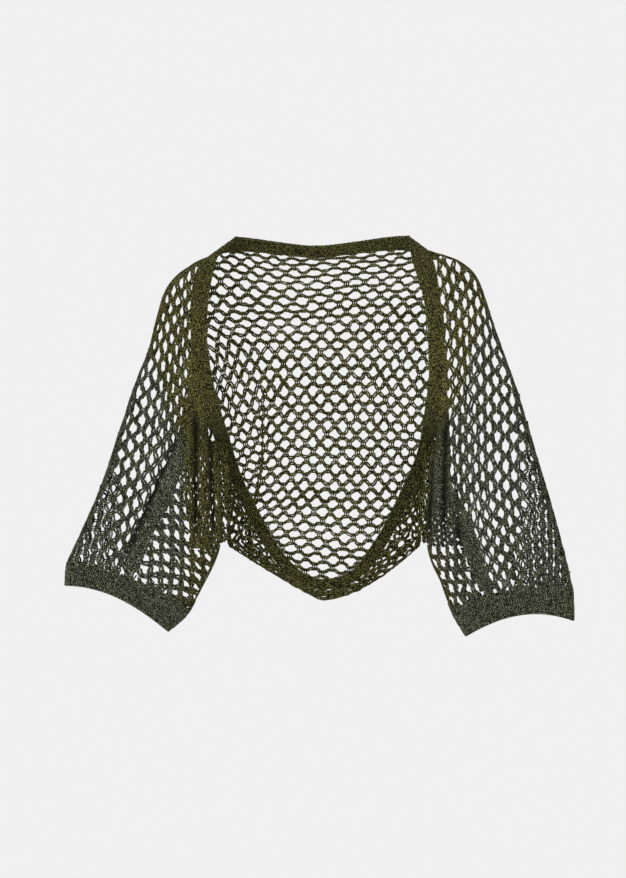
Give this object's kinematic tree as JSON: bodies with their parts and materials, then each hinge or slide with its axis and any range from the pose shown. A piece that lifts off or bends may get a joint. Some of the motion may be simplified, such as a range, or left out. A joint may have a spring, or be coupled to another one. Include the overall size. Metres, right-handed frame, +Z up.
{
  "type": "knitted shrug",
  "caption": "Open-mesh knitted shrug with three-quarter bell sleeves, close-knit band round the open front and ribbed cuffs, held in its worn shape.",
  "frame": {"origin": "on the shoulder line, midway between the two shoulders, where the wearer holds the garment", "axes": "+X towards the wearer's left along the shoulder line, +Z up, -Y out of the open front"},
  "size_m": [0.7389, 0.2073, 0.5808],
  "materials": {
    "net_olive": "two-ply melange yarn in an open net, matt and slightly hairy",
    "net_grey_green": "two-ply melange yarn in an open net, matt and slightly hairy",
    "band_olive": "close knit, matt",
    "cuff_grey_green": "close knit with fine ribs, matt"
  },
  "bodies": {
    "root": {"body": "net_olive", "sleeve_right": "net_grey_green", "sleeve_left": "net_grey_green", "band_neck": "band_olive", "band_front_right": "band_olive", "band_front_left": "band_olive", "band_hem": "band_olive", "cuff_right": "cuff_grey_green", "cuff_left": "cuff_grey_green"}
  },
  "joints": []
}
